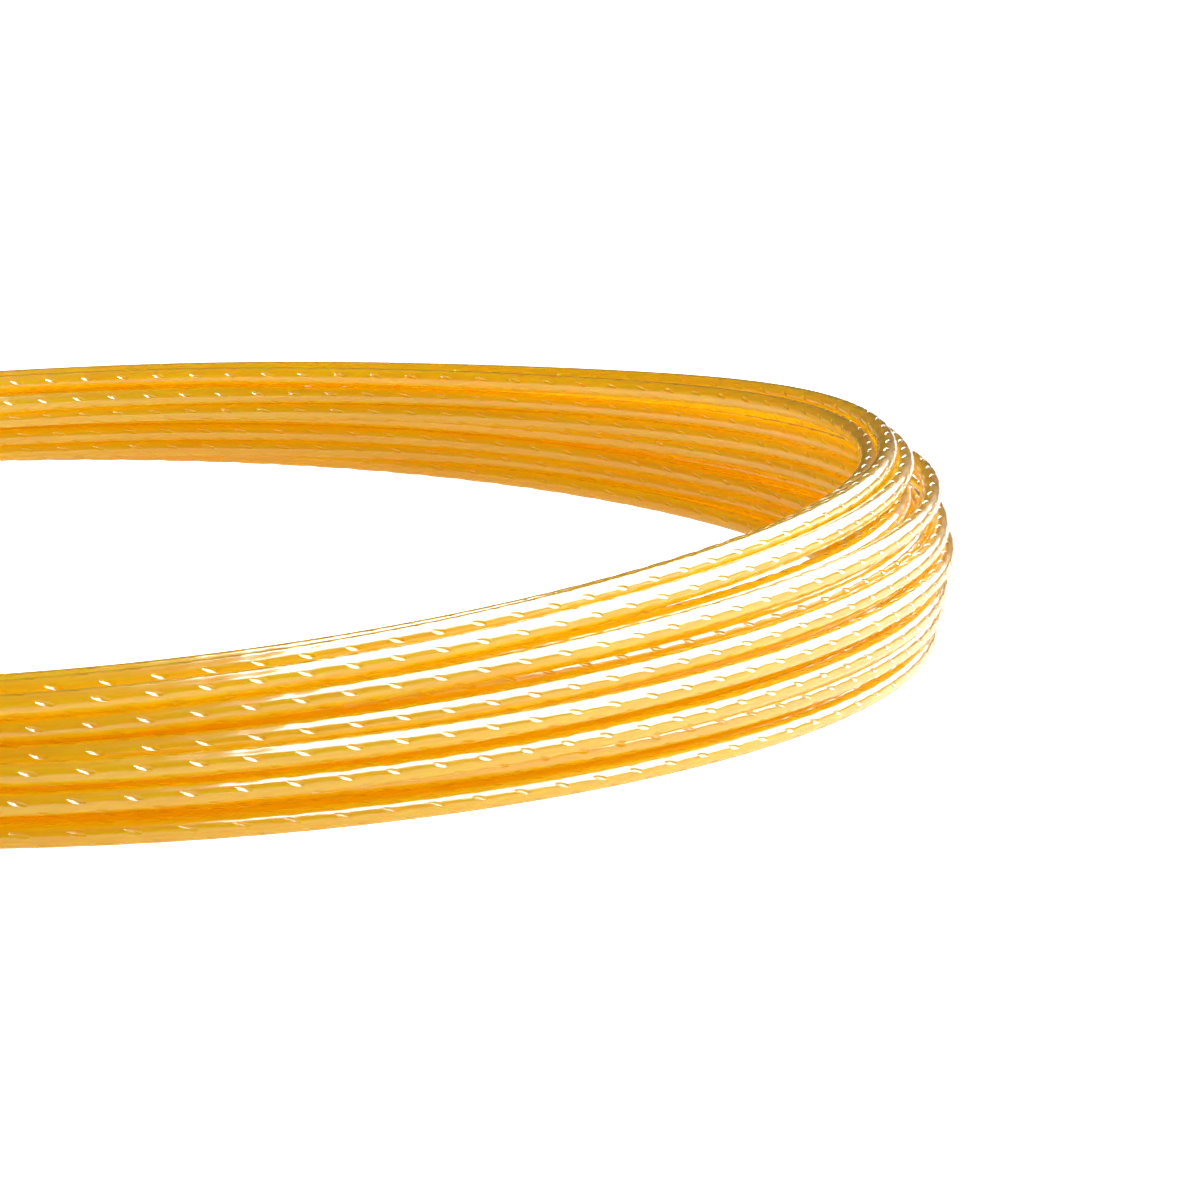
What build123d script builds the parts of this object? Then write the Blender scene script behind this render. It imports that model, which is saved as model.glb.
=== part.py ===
"""A coil of textured tennis string, held together by one wire twist tie.

Millimetres, +Z up. The coil lies flat: its axis is Z, its underside is z = 0, and the
origin is the middle of its footprint. The twist tie is at -X, where the turns are
gathered, and the turns fan out to their full height at +X.
"""

import os
from math import cos, pi, radians, sin, tan

from build123d import *

# The string: one length, wound into a coil
STRING = 1.25             # diameter of the string
TURNS = 19                # times that the string passes the fanned side
MEAN_RADIUS = 51.2        # of a turn, to the middle of the string

# The coil's outer shape. A loose coil is oval, and its middle is not the origin, because
# the tie stands out from it on one side. Each radius is a pair: the long and the short one.
COIL_X = 1.9              # middle of the coil
OVAL_TURN = 33            # degrees from X to the oval's long axis
OUTER_FOOT = (58.1, 50.3)    # outer radii at the foot
INNER_FOOT = (50.6, 42.9)    # inner radii at the foot
OUTER_CROWN = (55.3, 47.5)   # outer radii at the top
INNER_CROWN = (50.1, 42.4)   # inner radii at the top
OUTER_FOOT_X = -1.3       # the foot is thick at the tie and thin at the fan
INNER_FOOT_X = 0.6
OUTER_CROWN_X = -2.8      # the top turns are smaller, so they stand in from the fan
INNER_CROWN_X = -0.3
FAN_HEIGHT = 12.0         # height of the fanned side
TIE_HEIGHT = 7.4          # height of the gathered side, over the tie
ROUNDING = 1.0            # of the coil's long edges

# The twist tie: a flat plastic ribbon with a wire core
RIBBON_WIDTH = 4.0
RIBBON_THICK = 0.8
RIBBON_PLAY = 0.3         # between the ribbon's edges and the turns beside it
WIRE = 0.45               # diameter of the core
BUNDLE_WIDTH = 6.4        # the gathered turns inside the tie, five strings wide
BUNDLE_HEIGHT = TIE_HEIGHT - 2 * RIBBON_THICK
BUNDLE_ROUND = 1.6        # corner radius of the gathered turns
BUNDLE_RADIUS = 54.0      # from the coil's middle to the middle of the gathered turns
TWIST_LENGTH = 12.0       # of the two ends, twisted together
TWIST_TURNS = 1.25
TWIST_STEPS = 15          # sections along the twist

# The string's two free ends, past the tie: points of each route
# (angle from the tie in degrees, distance from the coil's middle, height)
START_ROUTE = [(6.5, 52.6, 5.9), (12.0, 51.9, 6.5), (17.5, 51.4, 7.4), (23.0, 51.2, 8.5)]
END_ROUTE = [(-6.5, 56.6, 1.35), (-12.5, 57.7, 1.1), (-19.0, 59.3, 0.8), (-26.0, 61.3, 0.65)]

TIE_X = COIL_X - BUNDLE_RADIUS                           # middle of the gathered turns
TIE_Z = TIE_HEIGHT / 2
TWIST_X = TIE_X + BUNDLE_WIDTH / 2 + RIBBON_THICK        # inner side of the loop
CROWN_TILT = (FAN_HEIGHT - TIE_HEIGHT) / (2 * BUNDLE_RADIUS)
CROWN_PLANE = Plane(
    origin=(0, 0, (FAN_HEIGHT + TIE_HEIGHT) / 2), x_dir=(1, 0, CROWN_TILT), z_dir=(-CROWN_TILT, 0, 1)
)
TIE_PLANE = Plane(origin=(TIE_X, RIBBON_WIDTH / 2, TIE_Z), x_dir=(1, 0, 0), z_dir=(0, -1, 0))
WIRE_PLANE = Plane(origin=(TIE_X, 0, TIE_Z), x_dir=(1, 0, 0), z_dir=(0, -1, 0))
TWIST_PLANE = Plane(origin=(TWIST_X - RIBBON_THICK / 2, 0, TIE_Z), x_dir=(0, 0, 1), z_dir=(1, 0, 0))

print("length of the string about", round((TURNS * 2 * pi * MEAN_RADIUS + 45) / 1000, 2), "m")
os.makedirs("parts", exist_ok=True)


def tail_points(route):
    """Corners of a free end's route, from the coil's side to the tip."""
    return [
        Vector(COIL_X - radius * cos(radians(angle)), radius * sin(radians(angle)), height)
        for angle, radius, height in route
    ]


def tail_radii(points):
    """The largest arc that each corner's two runs allow."""
    radii = []
    for before, corner, after in zip(points, points[1:], points[2:]):
        turn = radians((corner - before).get_angle(after - corner))
        shorter = min((corner - before).length, (after - corner).length)
        radii.append(0.45 * shorter / tan(turn / 2))
    return radii


def tail_tube(name, route):
    """A round tube of the string along one free end."""
    points = tail_points(route)
    radii = tail_radii(points)
    with BuildPart() as tube:
        with BuildLine():
            path = FilletPolyline(*points, radius=radii)
        with BuildSketch(Plane(origin=points[0], z_dir=points[1] - points[0])):
            Circle(STRING / 2)
        sweep()
    tube.part.label = name
    section = pi * STRING**2 / 4
    print(name, "length", round(path.length, 2), "arc radii", [round(r) for r in radii])
    print(name, "volume over section times length", round(tube.part.volume / (section * path.length), 4))
    return tube.part


start_tail = tail_tube("string_start_tail", START_ROUTE)
end_tail = tail_tube("string_end_tail", END_ROUTE)

# The coil: one closed solid of the outer shape of all the turns
with BuildPart() as string_coil:
    with BuildSketch(Plane.XY):
        with Locations((COIL_X + OUTER_FOOT_X, 0)):
            Ellipse(*OUTER_FOOT, rotation=OVAL_TURN)
    with BuildSketch(CROWN_PLANE):
        with Locations((COIL_X + OUTER_CROWN_X, 0)):
            Ellipse(*OUTER_CROWN, rotation=OVAL_TURN)
    loft(ruled=True)
    with BuildSketch(Plane.XY):
        with Locations((COIL_X + INNER_FOOT_X, 0)):
            Ellipse(*INNER_FOOT, rotation=OVAL_TURN)
    with BuildSketch(CROWN_PLANE):
        with Locations((COIL_X + INNER_CROWN_X, 0)):
            Ellipse(*INNER_CROWN, rotation=OVAL_TURN)
    loft(ruled=True, mode=Mode.SUBTRACT)
    fillet(string_coil.edges().filter_by(lambda edge: edge.length > 4 * INNER_CROWN[1]), ROUNDING)
    # the tie pulls the turns into a neck, which fills the ribbon's loop
    with Locations((TIE_X, 0, TIE_Z)):
        Box(3 * BUNDLE_WIDTH, RIBBON_WIDTH + 2 * RIBBON_PLAY, 3 * TIE_HEIGHT, mode=Mode.SUBTRACT)
    with BuildSketch(WIRE_PLANE):
        RectangleRounded(BUNDLE_WIDTH, BUNDLE_HEIGHT, BUNDLE_ROUND)
    extrude(amount=RIBBON_WIDTH / 2 + RIBBON_PLAY, both=True)
    # the free ends lie in channels of their own
    add(start_tail, mode=Mode.SUBTRACT)
    add(end_tail, mode=Mode.SUBTRACT)

# The tie's wire core: a loop round the turns, and two ends that run out side by side
with BuildPart() as tie_wire:
    half_width = (BUNDLE_WIDTH + RIBBON_THICK) / 2
    half_height = (BUNDLE_HEIGHT + RIBBON_THICK) / 2
    with BuildLine(WIRE_PLANE):
        wire_loop = FilletPolyline(
            (half_width, -half_height),
            (half_width, half_height),
            (-half_width, half_height),
            (-half_width, -half_height),
            radius=BUNDLE_ROUND + RIBBON_THICK / 2,
            close=True,
        )
    with BuildSketch(Plane(origin=wire_loop @ 0, z_dir=wire_loop % 0)):
        Circle(WIRE / 2)
    sweep()
    with BuildSketch(TWIST_PLANE):
        with GridLocations(RIBBON_THICK, 0, 2, 1):
            Circle(WIRE / 2)
    extrude(amount=TWIST_LENGTH)

# The tie's plastic ribbon: a band round the turns, and its two ends in one flat twist
with BuildPart() as tie_ribbon:
    with BuildSketch(TIE_PLANE):
        RectangleRounded(
            BUNDLE_WIDTH + 2 * RIBBON_THICK, BUNDLE_HEIGHT + 2 * RIBBON_THICK, BUNDLE_ROUND + RIBBON_THICK
        )
        RectangleRounded(BUNDLE_WIDTH, BUNDLE_HEIGHT, BUNDLE_ROUND, mode=Mode.SUBTRACT)
    extrude(amount=RIBBON_WIDTH)
    for step in range(TWIST_STEPS + 1):
        with BuildSketch(TWIST_PLANE.offset(TWIST_LENGTH * step / TWIST_STEPS)):
            Rectangle(2 * RIBBON_THICK, RIBBON_WIDTH, rotation=360 * TWIST_TURNS * step / TWIST_STEPS)
    loft()
    add(tie_wire.part, mode=Mode.SUBTRACT)

string_coil.part.label = "string_coil"
tie_wire.part.label = "tie_wire"
tie_ribbon.part.label = "tie_ribbon"
for piece in (string_coil.part, start_tail, end_tail, tie_wire.part, tie_ribbon.part):
    export_step(piece, f"parts/{piece.label}.step")
    print(piece.label, "volume", round(piece.volume, 1), "solids", len(piece.solids()))
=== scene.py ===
# %% [markdown]
# # A coil of textured tennis string
#
# The object is one length of string, wound into a loose coil and held by one twist tie. The
# imported CAD model gives the frame: it sits at its real size and place, in metres, and every
# piece made here goes where that model says. This first cell loads it.

from math import cos, pi, radians, sin

import bmesh
import bpy
import numpy as np
from mathutils import Matrix, Vector


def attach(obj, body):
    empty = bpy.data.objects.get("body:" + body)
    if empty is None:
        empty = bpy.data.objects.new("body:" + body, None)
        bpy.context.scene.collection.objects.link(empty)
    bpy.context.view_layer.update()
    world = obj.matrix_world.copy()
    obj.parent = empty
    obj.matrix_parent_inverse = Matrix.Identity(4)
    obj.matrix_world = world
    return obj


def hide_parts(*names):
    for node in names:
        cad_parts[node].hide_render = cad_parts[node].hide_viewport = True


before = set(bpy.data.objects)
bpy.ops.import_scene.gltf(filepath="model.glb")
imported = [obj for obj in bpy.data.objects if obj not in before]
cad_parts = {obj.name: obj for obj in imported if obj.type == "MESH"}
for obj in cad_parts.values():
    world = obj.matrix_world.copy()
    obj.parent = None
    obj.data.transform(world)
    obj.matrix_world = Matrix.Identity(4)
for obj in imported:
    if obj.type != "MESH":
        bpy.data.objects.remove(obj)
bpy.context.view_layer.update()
MM = 0.001

# %% [markdown]
# The camera comes first, because a coil this flat changes its whole look with a few degrees
# of viewing height. It is a long lens about 25 cm away, a little above the
# coil, aimed to the right of the coil's middle so that only the fanned half is in view.
# Three small angles turn it after it has looked at the middle.

# %% Camera
STRING = 1.25 * MM                 # diameter of the string
TURN_RADIUS = 40.9 * STRING        # of a turn, to the middle of the string
COIL_MIDDLE = Vector((1.9 * MM, 0, 0))
CAMERA_DISTANCE = 4.89 * TURN_RADIUS
CAMERA_HEIGHT_ANGLE = radians(12.9)
PAN, TILT, ROLL = radians(7.3), radians(0.28), radians(0.8)
LENS = 123.3                       # mm, on a 36 mm wide sensor

back = Vector((0, -cos(CAMERA_HEIGHT_ANGLE), sin(CAMERA_HEIGHT_ANGLE)))
right = Vector((1, 0, 0))
up = back.cross(right)
turned = Matrix((right, up, back)).transposed() @ (
    Matrix.Rotation(-PAN, 3, "Y") @ Matrix.Rotation(TILT, 3, "X") @ Matrix.Rotation(ROLL, 3, "Z")
)
camera = bpy.data.objects.new("camera", bpy.data.cameras.new("camera"))
camera.matrix_world = Matrix.Translation(COIL_MIDDLE + back * CAMERA_DISTANCE) @ turned.to_4x4()
camera.data.lens = LENS
camera.data.clip_start = 0.01
bpy.context.scene.collection.objects.link(camera)
bpy.context.scene.camera = camera
print("camera is", round(CAMERA_DISTANCE, 3), "m from the coil's middle")

# %% [markdown]
# The string passes the fanned side nineteen times. Where each turn crosses that side is a
# height and a step outwards, counted in string diameters. At the tie the same string
# passes twenty times, packed in rows like logs in a stack.

# %% Where the turns cross the fan and the tie
FAN_PLACES = [  # (height, outwards), in the order in which the string was wound
    (8.7, -1.9), (9.1, -1.1),
    (8.5, -0.4), (7.3, 0.7), (5.8, -0.3), (6.7, -0.9), (6.0, -0.9),
    (4.7, -1.3), (4.9, -0.3), (5.6, 0.6), (4.4, 0.7),
    (2.8, 0.0), (3.6, -0.6), (1.9, -0.3), (2.3, -1.5), (1.2, -1.7),
    (0.5, -3.0), (0.5, -2.0), (0.5, -1.1),
]
TIE_ROWS = (2, 5, 4, 5, 4)
ROW_RISE = cos(radians(30))        # from one row of a close stack to the next

tie_places = []
for row, count in enumerate(TIE_ROWS):
    across = np.arange(count) - (count - 1) / 2
    height = 0.5 + ROW_RISE * (len(TIE_ROWS) - 1 - row)
    tie_places += [(height, step) for step in (-across if row % 2 else across)]
TURNS = len(FAN_PLACES)
print(TURNS, "turns at the fan,", len(tie_places), "passes at the tie")

# %% [markdown]
# Between those two places a turn slides from its place at the tie to its place at the fan
# and back to the next place at the tie. The higher turns are a little smaller, so they lean
# inwards. Where two turns would run into each other they push apart until they lie one
# diameter from each other, and because the string is stiff each push also moves the string
# on either side of it.

# %% Settle the turns
PER_TURN = 36                      # points of each turn
FRONT_GATHER, BACK_GATHER = 1.3, 2.4    # how soon the turns close up on either side of the fan
FAN_MIDDLE = radians(2.8)
LEAN, LEAN_TO_BACK = 0.3, 0.025    # diameters inwards for each diameter of height
TIE_REACH = radians(40)            # the lean dies out this near the tie
BACK_SAG = 0.07                    # diameters for each diameter of height
SAG_MIDDLE, SAG_REACH = radians(48), radians(28)
OVAL, OVAL_ASKEW = 0.031, 0.07     # a loose coil is never quite round
SETTLE_ROUNDS = 100
PUSH_SHARE = 0.6                   # of the overlap that one round takes away
HOLD = 0.995                       # share of the shift that is kept from round to round
EVENING = 0.25                     # how strongly the first round evens the shift out
FLOOR_CLEARANCE = 0.5              # diameters from the floor to the middle of a turn on it
LIFT_REACH = radians(45)           # the ribbon under the tie lifts the turns this far round
TIE_LIFT = 0.9 * MM / STRING       # by its own thickness


def wanted_places(angles):
    """Height and step outwards of each turn at each angle, in diameters, before settling."""
    facing = (1 + np.cos(angles - FAN_MIDDLE)) / 2
    at_fan = np.where(angles < FAN_MIDDLE, facing**FRONT_GATHER, facing**BACK_GATHER)[:, None]
    along = (angles[:, None] + pi) / (2 * pi)
    untied = 1 - np.exp(-(((np.abs(angles) - pi) / TIE_REACH) ** 2))
    sagging = np.exp(-(((angles - SAG_MIDDLE) / SAG_REACH) ** 2))
    wanted = np.zeros((TURNS, len(angles), 2))
    for turn, fan_place in enumerate(FAN_PLACES):
        here, there = np.array(tie_places[turn]), np.array(tie_places[turn + 1])
        at_tie = here * (1 - along) + there * along
        wanted[turn] = at_tie * (1 - at_fan) + np.array(fan_place) * at_fan
        wanted[turn, :, 0] -= BACK_SAG * fan_place[0] * sagging
        wanted[turn, :, 1] -= (LEAN + LEAN_TO_BACK * np.sin(angles)) * fan_place[0] * untied
    return wanted


def spread_along(shift, share):
    """Evens a shift out along the string, from each turn into the next."""
    chain = np.concatenate([shift[:, :-1].reshape(-1, 2), shift[-1, -1:]])
    chain[1:-1] += share * (chain[:-2] - 2 * chain[1:-1] + chain[2:])
    shift[:, :-1] = chain[:-1].reshape(TURNS, -1, 2)
    shift[:-1, -1] = shift[1:, 0]
    shift[-1, -1] = chain[-1]


def settle(wanted):
    """Pushes crowded turns apart to one diameter and keeps them off the floor."""
    shift = np.zeros_like(wanted)
    for settling in range(SETTLE_ROUNDS):
        places = wanted + shift
        between = places[:, None] - places[None]
        distance = np.linalg.norm(between, axis=-1) + 1e-9
        push = np.clip(1 - distance, 0, None) / 2
        push[np.arange(TURNS), np.arange(TURNS)] = 0
        places += PUSH_SHARE * (between / distance[..., None] * push[..., None]).sum(1)
        places[..., 0] = np.maximum(places[..., 0], FLOOR_CLEARANCE)
        shift = HOLD * (places - wanted)
        spread_along(shift, EVENING * (1 - settling / SETTLE_ROUNDS))
    return wanted + shift


angles = np.linspace(-pi, pi, PER_TURN + 1)
places = settle(wanted_places(angles))
NOT_ITSELF = 9 * np.eye(TURNS)[..., None]    # keeps a turn from being its own nearest one
gaps = np.linalg.norm(places[:, None] - places[None], axis=-1) + NOT_ITSELF
print("closest turns are", round(float(gaps.min()), 2), "diameters apart")

# %% [markdown]
# The string's two free ends stick out past the tie. They lie on the points that the CAD
# model's ends have: an angle from the tie, a distance from the coil's middle and a height.
# The first end rises over the stack, and the last end springs outwards along the floor.
# The whole string is then one smooth NURBS curve: its order is set after its points.

# %% The string's own line
ROUND_UP = 1 / cos(pi / PER_TURN)  # a smooth curve cuts inside its control points
WIDER = 1.0                        # diameters, added to every turn
START_ROUTE = [(6.5, 52.6, 5.9), (12.0, 51.9, 6.5), (17.5, 51.4, 7.4), (23.0, 51.2, 8.5)]
END_ROUTE = [(-6.5, 56.6, 1.35), (-12.5, 57.7, 1.1), (-19.0, 59.3, 0.8), (-26.0, 61.3, 0.65)]


def end_points(route):
    """A free end's points, in metres."""
    return [
        COIL_MIDDLE + MM * Vector((-radius * cos(radians(angle)), radius * sin(radians(angle)), height))
        for angle, radius, height in route
    ]


def turn_points():
    """The points of all the turns, from the first pass of the tie to the last, in metres."""
    oval = 1 + OVAL * np.cos(2 * angles) + OVAL_ASKEW * np.sin(2 * angles)
    near_tie = np.clip(1 - (pi - np.abs(angles)) / LIFT_REACH, 0, 1)
    lift = TIE_LIFT * near_tie**2 * (3 - 2 * near_tie)
    points = []
    for turn in range(TURNS):
        radii = (TURN_RADIUS * oval + (places[turn, :, 1] + WIDER) * STRING) * ROUND_UP
        heights = (places[turn, :, 0] + lift) * STRING
        last = PER_TURN + 1 if turn == TURNS - 1 else PER_TURN
        for step in range(last):
            across = Vector((cos(angles[step]), sin(angles[step]), 0)) * radii[step]
            points.append(COIL_MIDDLE + across + Vector((0, 0, heights[step])))
    return points


route = end_points(START_ROUTE)[::-1] + turn_points() + end_points(END_ROUTE)
line = bpy.data.curves.new("string_line", "CURVE")
line.dimensions = "3D"
spline = line.splines.new("NURBS")
spline.points.add(len(route) - 1)
for point, place in zip(spline.points, route):
    point.co = (*place, 1)
spline.order_u = 3
spline.use_endpoint_u = True
print(len(route), "points on the string's line")

# %% [markdown]
# The string is a round tube along that line, with small slanting notches pressed into it
# in rows. The tube comes from the curve itself, given a round bevel that keeps its seam at
# the same side all the way. Its rings follow each other in order, so ring and side number
# give every point a place along and around the string, which the notches and the UV map
# both use.

# %% The string as a tube
SIDES = 10                         # round the string
RINGS_PER_POINT = 13               # rings between one point of the line and the next
RINGS_PER_NOTCH = 4                # so that notches come every 2.7 mm
NOTCH_ROW_TILT = radians(18)       # puts one row of notches high on the outer side


def line_mesh(bevel):
    """The line as a mesh: bare points, or rings round them when it has a bevel."""
    line.bevel_depth = bevel
    holder = bpy.data.objects.new("line_holder", line)
    mesh = bpy.data.meshes.new_from_object(holder)
    bpy.data.objects.remove(holder)
    return mesh


line.resolution_u = RINGS_PER_POINT
line.bevel_resolution = SIDES // 2 - 2
line.twist_mode = "Z_UP"
for point in spline.points:
    point.tilt = NOTCH_ROW_TILT
centres = line_mesh(0)
middle_line = [vertex.co.copy() for vertex in centres.vertices]
tube = line_mesh(STRING / 2)
print(len(tube.vertices), "points and", len(tube.polygons), "faces in the tube")

# %% [markdown]
# Every second side carries a row of notches, so there are five rows round the string, and
# neighbouring rows are half a step apart. Each notch is pressed into the mesh here, and the
# material adds its sharp slanting edge at the same place.

# %% Press the notches
NOTCH_DEPTH = 0.06 * MM
ROWS = SIDES // 2


def row_phase(row):
    """How far along its step a row's notches start, as a share of the step."""
    return 0.5 * (row % 2)


for ring, middle in enumerate(middle_line):
    for row in range(ROWS):
        if ring % RINGS_PER_NOTCH == RINGS_PER_NOTCH * row_phase(row):
            vertex = tube.vertices[ring * SIDES + 2 * row]
            vertex.co += (middle - vertex.co).normalized() * NOTCH_DEPTH

# %% [markdown]
# A curve leaves its tube open at both ends, but a cut string has two flat faces there. Each
# open ring is filled with one face, which stays flat-shaded so that the cut looks sharp. The
# normals are then made to agree, because filling can leave the new faces looking inwards.

# %% Close the cut ends and place the string
shape = bmesh.new()
shape.from_mesh(tube)
for face in shape.faces:
    face.smooth = True
open_edges = [edge for edge in shape.edges if edge.is_boundary]
cut_faces = bmesh.ops.holes_fill(shape, edges=open_edges, sides=SIDES)["faces"]
for face in cut_faces:
    face.smooth = False
bmesh.ops.recalc_face_normals(shape, faces=shape.faces)
shape.to_mesh(tube)
shape.free()
print(len(cut_faces), "cut ends closed")

string = bpy.data.objects.new("string", tube)
bpy.context.scene.collection.objects.link(string)
length = sum((b - a).length for a, b in zip(middle_line, middle_line[1:]))
print("string is", round(length, 3), "m long, a ring each", round(length / MM / len(middle_line), 3), "mm")
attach(string, "root")
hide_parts("string_coil", "string_start_tail", "string_end_tail")

# %% [markdown]
# Materials are small node trees. One function turns a colour as it is written in paint
# charts and web pages into the linear numbers that a renderer needs. Another adds a node: a
# setting's name may be a property of the node, an input's name, or an input's number where
# several inputs share one name.

# %% Helpers for materials
def linear(hex_colour):
    """An sRGB hex colour as linear RGBA."""
    shares = [int(hex_colour[i:i + 2], 16) / 255 for i in (1, 3, 5)]
    return [c / 12.92 if c <= 0.04045 else ((c + 0.055) / 1.055) ** 2.4 for c in shares] + [1]


def add_node(tree, kind, settings, links):
    """Adds a node, sets its properties and inputs, and links other nodes' outputs to it."""
    node = tree.nodes.new(kind)
    for name, value in settings.items():
        if isinstance(name, int) or name in node.inputs:
            node.inputs[name].default_value = value
        else:
            setattr(node, name, value)
    for name, output in links.items():
        tree.links.new(output, node.inputs[name])
    return node


def new_material(name):
    """A material with an empty node tree."""
    material = bpy.data.materials.new(name)
    material.use_nodes = True
    material.node_tree.nodes.clear()
    return material

# %% [markdown]
# The string is polyester monofilament: clear amber plastic, drawn through a die and then
# pressed between heated rollers that leave the notches. To the eye it is glassy outside and
# glows from inside, because light that enters one turn comes out through its neighbours, and
# each turn that it crosses takes away more blue and green. That is why single turns look
# golden and the gaps between them deep orange. A weak orange emission adds painted glow on
# top, so that the gaps between turns are lighter.
#
# The notches are drawn from the string's own UV map. It is stretched so that one unit is one
# notch along and one row around, and wrapping each number to half a unit either way gives
# the distance from the nearest notch.

# %% Where the notches lie
NOTCH_SLANT = 0.9                  # rows sideways for each step along
NOTCH_HALF_LENGTH = 0.17           # of a step
NOTCH_HALF_WIDTH = 0.2             # of a row
NOTCHES_ALONG = (len(middle_line) - 1) / RINGS_PER_NOTCH

amber = new_material("amber_polyester_monofilament")
tree = amber.node_tree
on_string = add_node(tree, "ShaderNodeUVMap", {"uv_map": "UVMap"}, {})
in_steps = add_node(tree, "ShaderNodeMapping", {
    "Scale": (NOTCHES_ALONG, ROWS, 1), "Location": (0, -0.5, 0),
}, {"Vector": on_string.outputs["UV"]})
steps = add_node(tree, "ShaderNodeSeparateXYZ", {}, {"Vector": in_steps.outputs["Vector"]})
row = add_node(tree, "ShaderNodeMath", {"operation": "ROUND"}, {0: steps.outputs["Y"]})
half_step_on = add_node(tree, "ShaderNodeMath", {"operation": "MULTIPLY_ADD", 1: -0.5}, {
    0: row.outputs["Value"], 2: steps.outputs["X"],
})
along = add_node(tree, "ShaderNodeMath", {"operation": "WRAP", 1: 0.5, 2: -0.5}, {
    0: half_step_on.outputs["Value"],
})
across = add_node(tree, "ShaderNodeMath", {"operation": "WRAP", 1: 0.5, 2: -0.5}, {
    0: steps.outputs["Y"],
})
slanted = add_node(tree, "ShaderNodeMath", {"operation": "MULTIPLY_ADD", 1: -NOTCH_SLANT}, {
    0: along.outputs["Value"], 2: across.outputs["Value"],
})
from_notch = add_node(tree, "ShaderNodeCombineXYZ", {}, {
    "X": along.outputs["Value"], "Y": slanted.outputs["Value"],
})
in_notch = add_node(tree, "ShaderNodeVectorMath", {
    "operation": "DIVIDE", 1: (NOTCH_HALF_LENGTH, NOTCH_HALF_WIDTH, 1),
}, {0: from_notch.outputs["Vector"]})
squared = add_node(tree, "ShaderNodeVectorMath", {"operation": "DOT_PRODUCT"}, {
    0: in_notch.outputs["Vector"], 1: in_notch.outputs["Vector"],
})
pit = add_node(tree, "ShaderNodeMapRange", {"To Min": -1.0, "To Max": 0.0}, {
    "Value": squared.outputs["Value"],
})
print(round(NOTCHES_ALONG), "notches in each of", ROWS, "rows")

# %% [markdown]
# Drawing the plastic through its die also leaves faint streaks along the string. A noise on
# the same UV map, stretched along it, gives both the streaks' small differences of colour
# and their slight relief under the gloss.

# %% String material
NOTCH_RELIEF = 0.14 * MM
STREAK_LENGTH = 8 * MM
STREAKS_ROUND = 14
STREAK_RELIEF = 0.06               # of the notch's depth
PALE_AMBER, DEEP_AMBER = "#FFEC00", "#FFD200"
PAINTED_GLOW_COLOUR = "#F0A000"           # painted glow: the string gives out weak orange light of its own
PAINTED_GLOW_STRENGTH = 0.15

streak_place = add_node(tree, "ShaderNodeMapping", {
    "Scale": (length / STREAK_LENGTH, STREAKS_ROUND, 1),
}, {"Vector": on_string.outputs["UV"]})
streaks = add_node(tree, "ShaderNodeTexNoise", {"Scale": 1.0, "Detail": 3.0, "Roughness": 0.6}, {
    "Vector": streak_place.outputs["Vector"],
})
tint = add_node(tree, "ShaderNodeValToRGB", {}, {"Fac": streaks.outputs["Fac"]})
for stop, position, colour in zip(tint.color_ramp.elements, (0.3, 0.7), (DEEP_AMBER, PALE_AMBER)):
    stop.position = position
    stop.color = linear(colour)
height = add_node(tree, "ShaderNodeMath", {"operation": "MULTIPLY_ADD", 1: STREAK_RELIEF}, {
    0: streaks.outputs["Fac"], 2: pit.outputs["Result"],
})
relief = add_node(tree, "ShaderNodeBump", {"Strength": 1.0, "Distance": NOTCH_RELIEF}, {
    "Height": height.outputs["Value"],
})
plastic = add_node(tree, "ShaderNodeBsdfPrincipled", {
    "Roughness": 0.22, "IOR": 1.57, "Transmission Weight": 0.35,
    "Subsurface Weight": 1.0, "Subsurface Scale": 1.5 * MM, "Subsurface Radius": (1.0, 0.5, 0.03),
    "Coat Weight": 1.0, "Coat Roughness": 0.06, "Coat IOR": 1.57,
    # painted glow: a weak orange emission that lightens the gaps between turns
    "Emission Color": linear(PAINTED_GLOW_COLOUR), "Emission Strength": PAINTED_GLOW_STRENGTH,
}, {
    "Base Color": tint.outputs["Color"], "Normal": relief.outputs["Normal"],
    "Coat Normal": relief.outputs["Normal"],
})
add_node(tree, "ShaderNodeOutputMaterial", {}, {"Surface": plastic.outputs["BSDF"]})
tube.materials.append(amber)
print(amber.name, "has", len(tree.nodes), "nodes")

# %% [markdown]
# The tie's ribbon is soft white PVC, extruded flat round its wire. Extrusion leaves fine die
# lines along it, and the soft plastic has a satin shine with a slight orange peel. The lines
# are a wave across the ribbon's width, which is the Y axis all round the loop.

# %% Ribbon material
DIE_LINE = 0.5 * MM                # from one die line to the next
PEEL = 0.9 * MM                    # width of the orange peel
RIBBON_RELIEF = 0.03 * MM
WAVES_PER_UNIT = 0.31              # scale at which a wave texture repeats once in each unit
ribbon = new_material("white_extruded_pvc")
tree = ribbon.node_tree
place = add_node(tree, "ShaderNodeTexCoord", {}, {})
lines = add_node(tree, "ShaderNodeTexWave", {
    "bands_direction": "Y", "Scale": WAVES_PER_UNIT / DIE_LINE, "Distortion": 0.4,
}, {"Vector": place.outputs["Object"]})
peel = add_node(tree, "ShaderNodeTexNoise", {"Scale": 1 / PEEL, "Detail": 3.0}, {
    "Vector": place.outputs["Object"],
})
white = add_node(tree, "ShaderNodeValToRGB", {}, {"Fac": peel.outputs["Fac"]})
for stop, position, colour in zip(white.color_ramp.elements, (0.35, 0.65), ("#E2E0D8", "#F4F3EE")):
    stop.position = position
    stop.color = linear(colour)
shine = add_node(tree, "ShaderNodeMapRange", {"To Min": 0.38, "To Max": 0.52}, {
    "Value": peel.outputs["Fac"],
})
height = add_node(tree, "ShaderNodeMath", {"operation": "ADD"}, {
    0: lines.outputs["Fac"], 1: peel.outputs["Fac"],
})
relief = add_node(tree, "ShaderNodeBump", {"Strength": 0.6, "Distance": RIBBON_RELIEF}, {
    "Height": height.outputs["Value"],
})
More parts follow.
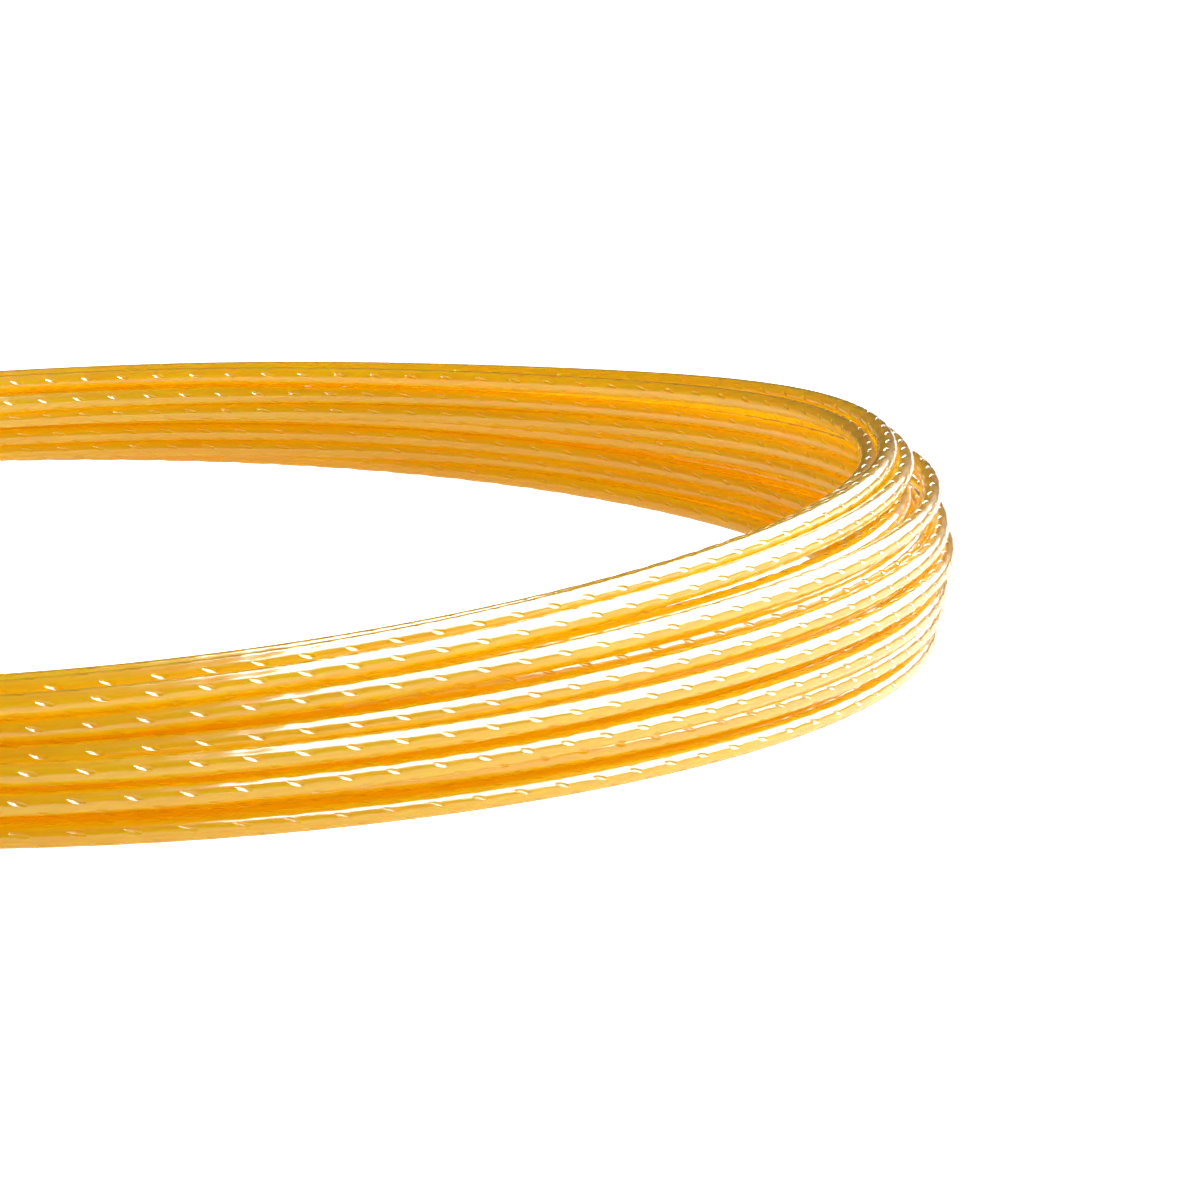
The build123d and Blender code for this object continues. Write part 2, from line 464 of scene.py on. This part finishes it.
plastic = add_node(tree, "ShaderNodeBsdfPrincipled", {
    "IOR": 1.53, "Subsurface Weight": 0.3, "Subsurface Scale": 0.5 * MM,
}, {
    "Base Color": white.outputs["Color"], "Roughness": shine.outputs["Result"],
    "Normal": relief.outputs["Normal"],
})
add_node(tree, "ShaderNodeOutputMaterial", {}, {"Surface": plastic.outputs["BSDF"]})

# %% [markdown]
# The core is galvanised steel wire, which shows only where the ribbon's ends are cut off.
# Drawing the wire leaves scratches along it, and the zinc over them is dull and cloudy. The
# scratches are a noise stretched along X, the way that the wire's ends lie.

# %% Wire material
SCRATCH_WIDTH, SCRATCH_LENGTH = 0.03 * MM, 1.5 * MM
wire = new_material("galvanised_steel_wire")
tree = wire.node_tree
place = add_node(tree, "ShaderNodeTexCoord", {}, {})
stretched = add_node(tree, "ShaderNodeMapping", {
    "Scale": (1 / SCRATCH_LENGTH, 1 / SCRATCH_WIDTH, 1 / SCRATCH_WIDTH),
}, {"Vector": place.outputs["Object"]})
scratches = add_node(tree, "ShaderNodeTexNoise", {"Scale": 1.0, "Detail": 2.0}, {
    "Vector": stretched.outputs["Vector"],
})
grey = add_node(tree, "ShaderNodeValToRGB", {}, {"Fac": scratches.outputs["Fac"]})
for stop, colour in zip(grey.color_ramp.elements, ("#8C8F92", "#C3C6C8")):
    stop.color = linear(colour)
dullness = add_node(tree, "ShaderNodeMapRange", {"To Min": 0.3, "To Max": 0.5}, {
    "Value": scratches.outputs["Fac"],
})
metal = add_node(tree, "ShaderNodeBsdfPrincipled", {"Metallic": 1.0}, {
    "Base Color": grey.outputs["Color"], "Roughness": dullness.outputs["Result"],
})
add_node(tree, "ShaderNodeOutputMaterial", {}, {"Surface": metal.outputs["BSDF"]})

for node_name, material in (("tie_ribbon", ribbon), ("tie_wire", wire)):
    for slot in bpy.data.objects[node_name].material_slots:
        slot.material = material
    print(node_name, "is now", material.name)

# %% [markdown]
# Clear plastic shows best on a light table: a white floor that glows, so that the coil
# casts no dark shadow. How bright the table and the room are is set apart for what the
# camera sees, for what gloss mirrors and for the light that they shed. Real lights can't do
# that, but black card and diffusers round a small object come close to it.

# %% Light table and room
FLOOR_HALF = 1.5                   # m
SEEN_FLOOR, MIRRORED_FLOOR, SHED_BY_FLOOR = 1.2, 0.25, 0.1
SEEN_ROOM, MIRRORED_ROOM, SHED_BY_ROOM = 1.3, 0.05, 0.2
floor_mesh = bpy.data.meshes.new("floor")
shape = bmesh.new()
bmesh.ops.create_grid(shape, x_segments=1, y_segments=1, size=FLOOR_HALF)
shape.to_mesh(floor_mesh)
shape.free()
floor = bpy.data.objects.new("floor", floor_mesh)
bpy.context.scene.collection.objects.link(floor)

light_table = new_material("opal_acrylic_light_table")
tree = light_table.node_tree
ray = add_node(tree, "ShaderNodeLightPath", {}, {})
seen_or_mirrored = add_node(tree, "ShaderNodeMapRange", {
    "To Min": SEEN_FLOOR, "To Max": MIRRORED_FLOOR,
}, {"Value": ray.outputs["Is Glossy Ray"]})
glow = add_node(tree, "ShaderNodeMix", {"B": SHED_BY_FLOOR}, {
    "Factor": ray.outputs["Is Diffuse Ray"], "A": seen_or_mirrored.outputs["Result"],
})
acrylic = add_node(tree, "ShaderNodeBsdfPrincipled", {
    "Base Color": linear("#F4F4F4"), "Roughness": 0.8, "Emission Color": linear("#FFFFFF"),
}, {"Emission Strength": glow.outputs["Result"]})
add_node(tree, "ShaderNodeOutputMaterial", {}, {"Surface": acrylic.outputs["BSDF"]})
floor_mesh.materials.append(light_table)

room = bpy.data.worlds.new("white_room")
bpy.context.scene.world = room
room.use_nodes = True
tree = room.node_tree
tree.nodes.clear()
ray = add_node(tree, "ShaderNodeLightPath", {}, {})
seen_or_mirrored = add_node(tree, "ShaderNodeMapRange", {
    "To Min": SEEN_ROOM, "To Max": MIRRORED_ROOM,
}, {"Value": ray.outputs["Is Glossy Ray"]})
strength = add_node(tree, "ShaderNodeMix", {"B": SHED_BY_ROOM}, {
    "Factor": ray.outputs["Is Diffuse Ray"], "A": seen_or_mirrored.outputs["Result"],
})
walls = add_node(tree, "ShaderNodeBackground", {"Color": linear("#FFFFFF")}, {
    "Strength": strength.outputs["Result"],
})
add_node(tree, "ShaderNodeOutputWorld", {}, {"Surface": walls.outputs["Background"]})
print("floor is", 2 * FLOOR_HALF, "m square")

# %% [markdown]
# One large softbox stands at the right. Each turn mirrors it in a long white streak along
# its upper side, which moves from turn to turn as the coil bends away. The box is two lamps
# in one place: a strong one that only shows in the gloss, and a weak one that lights the
# plastic but doesn't show in the gloss.

# %% Softbox
SOFTBOX_TURN, SOFTBOX_RISE = radians(18), radians(42)
SOFTBOX_DISTANCE = 0.6             # m
SOFTBOX_WIDTH, SOFTBOX_HEIGHT = 0.95, 0.7
GLOSS_RADIANCE, LIT_RADIANCE = 13, 3    # W per square metre and steradian
towards = Vector((
    cos(SOFTBOX_RISE) * cos(SOFTBOX_TURN), cos(SOFTBOX_RISE) * sin(SOFTBOX_TURN), sin(SOFTBOX_RISE),
))
for name, radiance in (("gloss_softbox", GLOSS_RADIANCE), ("main_softbox", LIT_RADIANCE)):
    softbox = bpy.data.lights.new(name, "AREA")
    softbox.shape = "RECTANGLE"
    softbox.size, softbox.size_y = SOFTBOX_WIDTH, SOFTBOX_HEIGHT
    softbox.energy = radiance * pi * SOFTBOX_WIDTH * SOFTBOX_HEIGHT
    lamp = bpy.data.objects.new(name, softbox)
    lamp.location = towards * SOFTBOX_DISTANCE
    lamp.rotation_euler = towards.to_track_quat("Z", "Y").to_euler()
    lamp.visible_diffuse = name == "main_softbox"
    lamp.visible_glossy = name == "gloss_softbox"
    bpy.context.scene.collection.objects.link(lamp)
    print(name, "gives", round(softbox.energy, 1), "W")
bpy.context.scene.view_settings.view_transform = "Standard"

# %% [markdown]
# Last, the scene is brought up to date.

# %% Bring the scene up to date
bpy.context.view_layer.update()
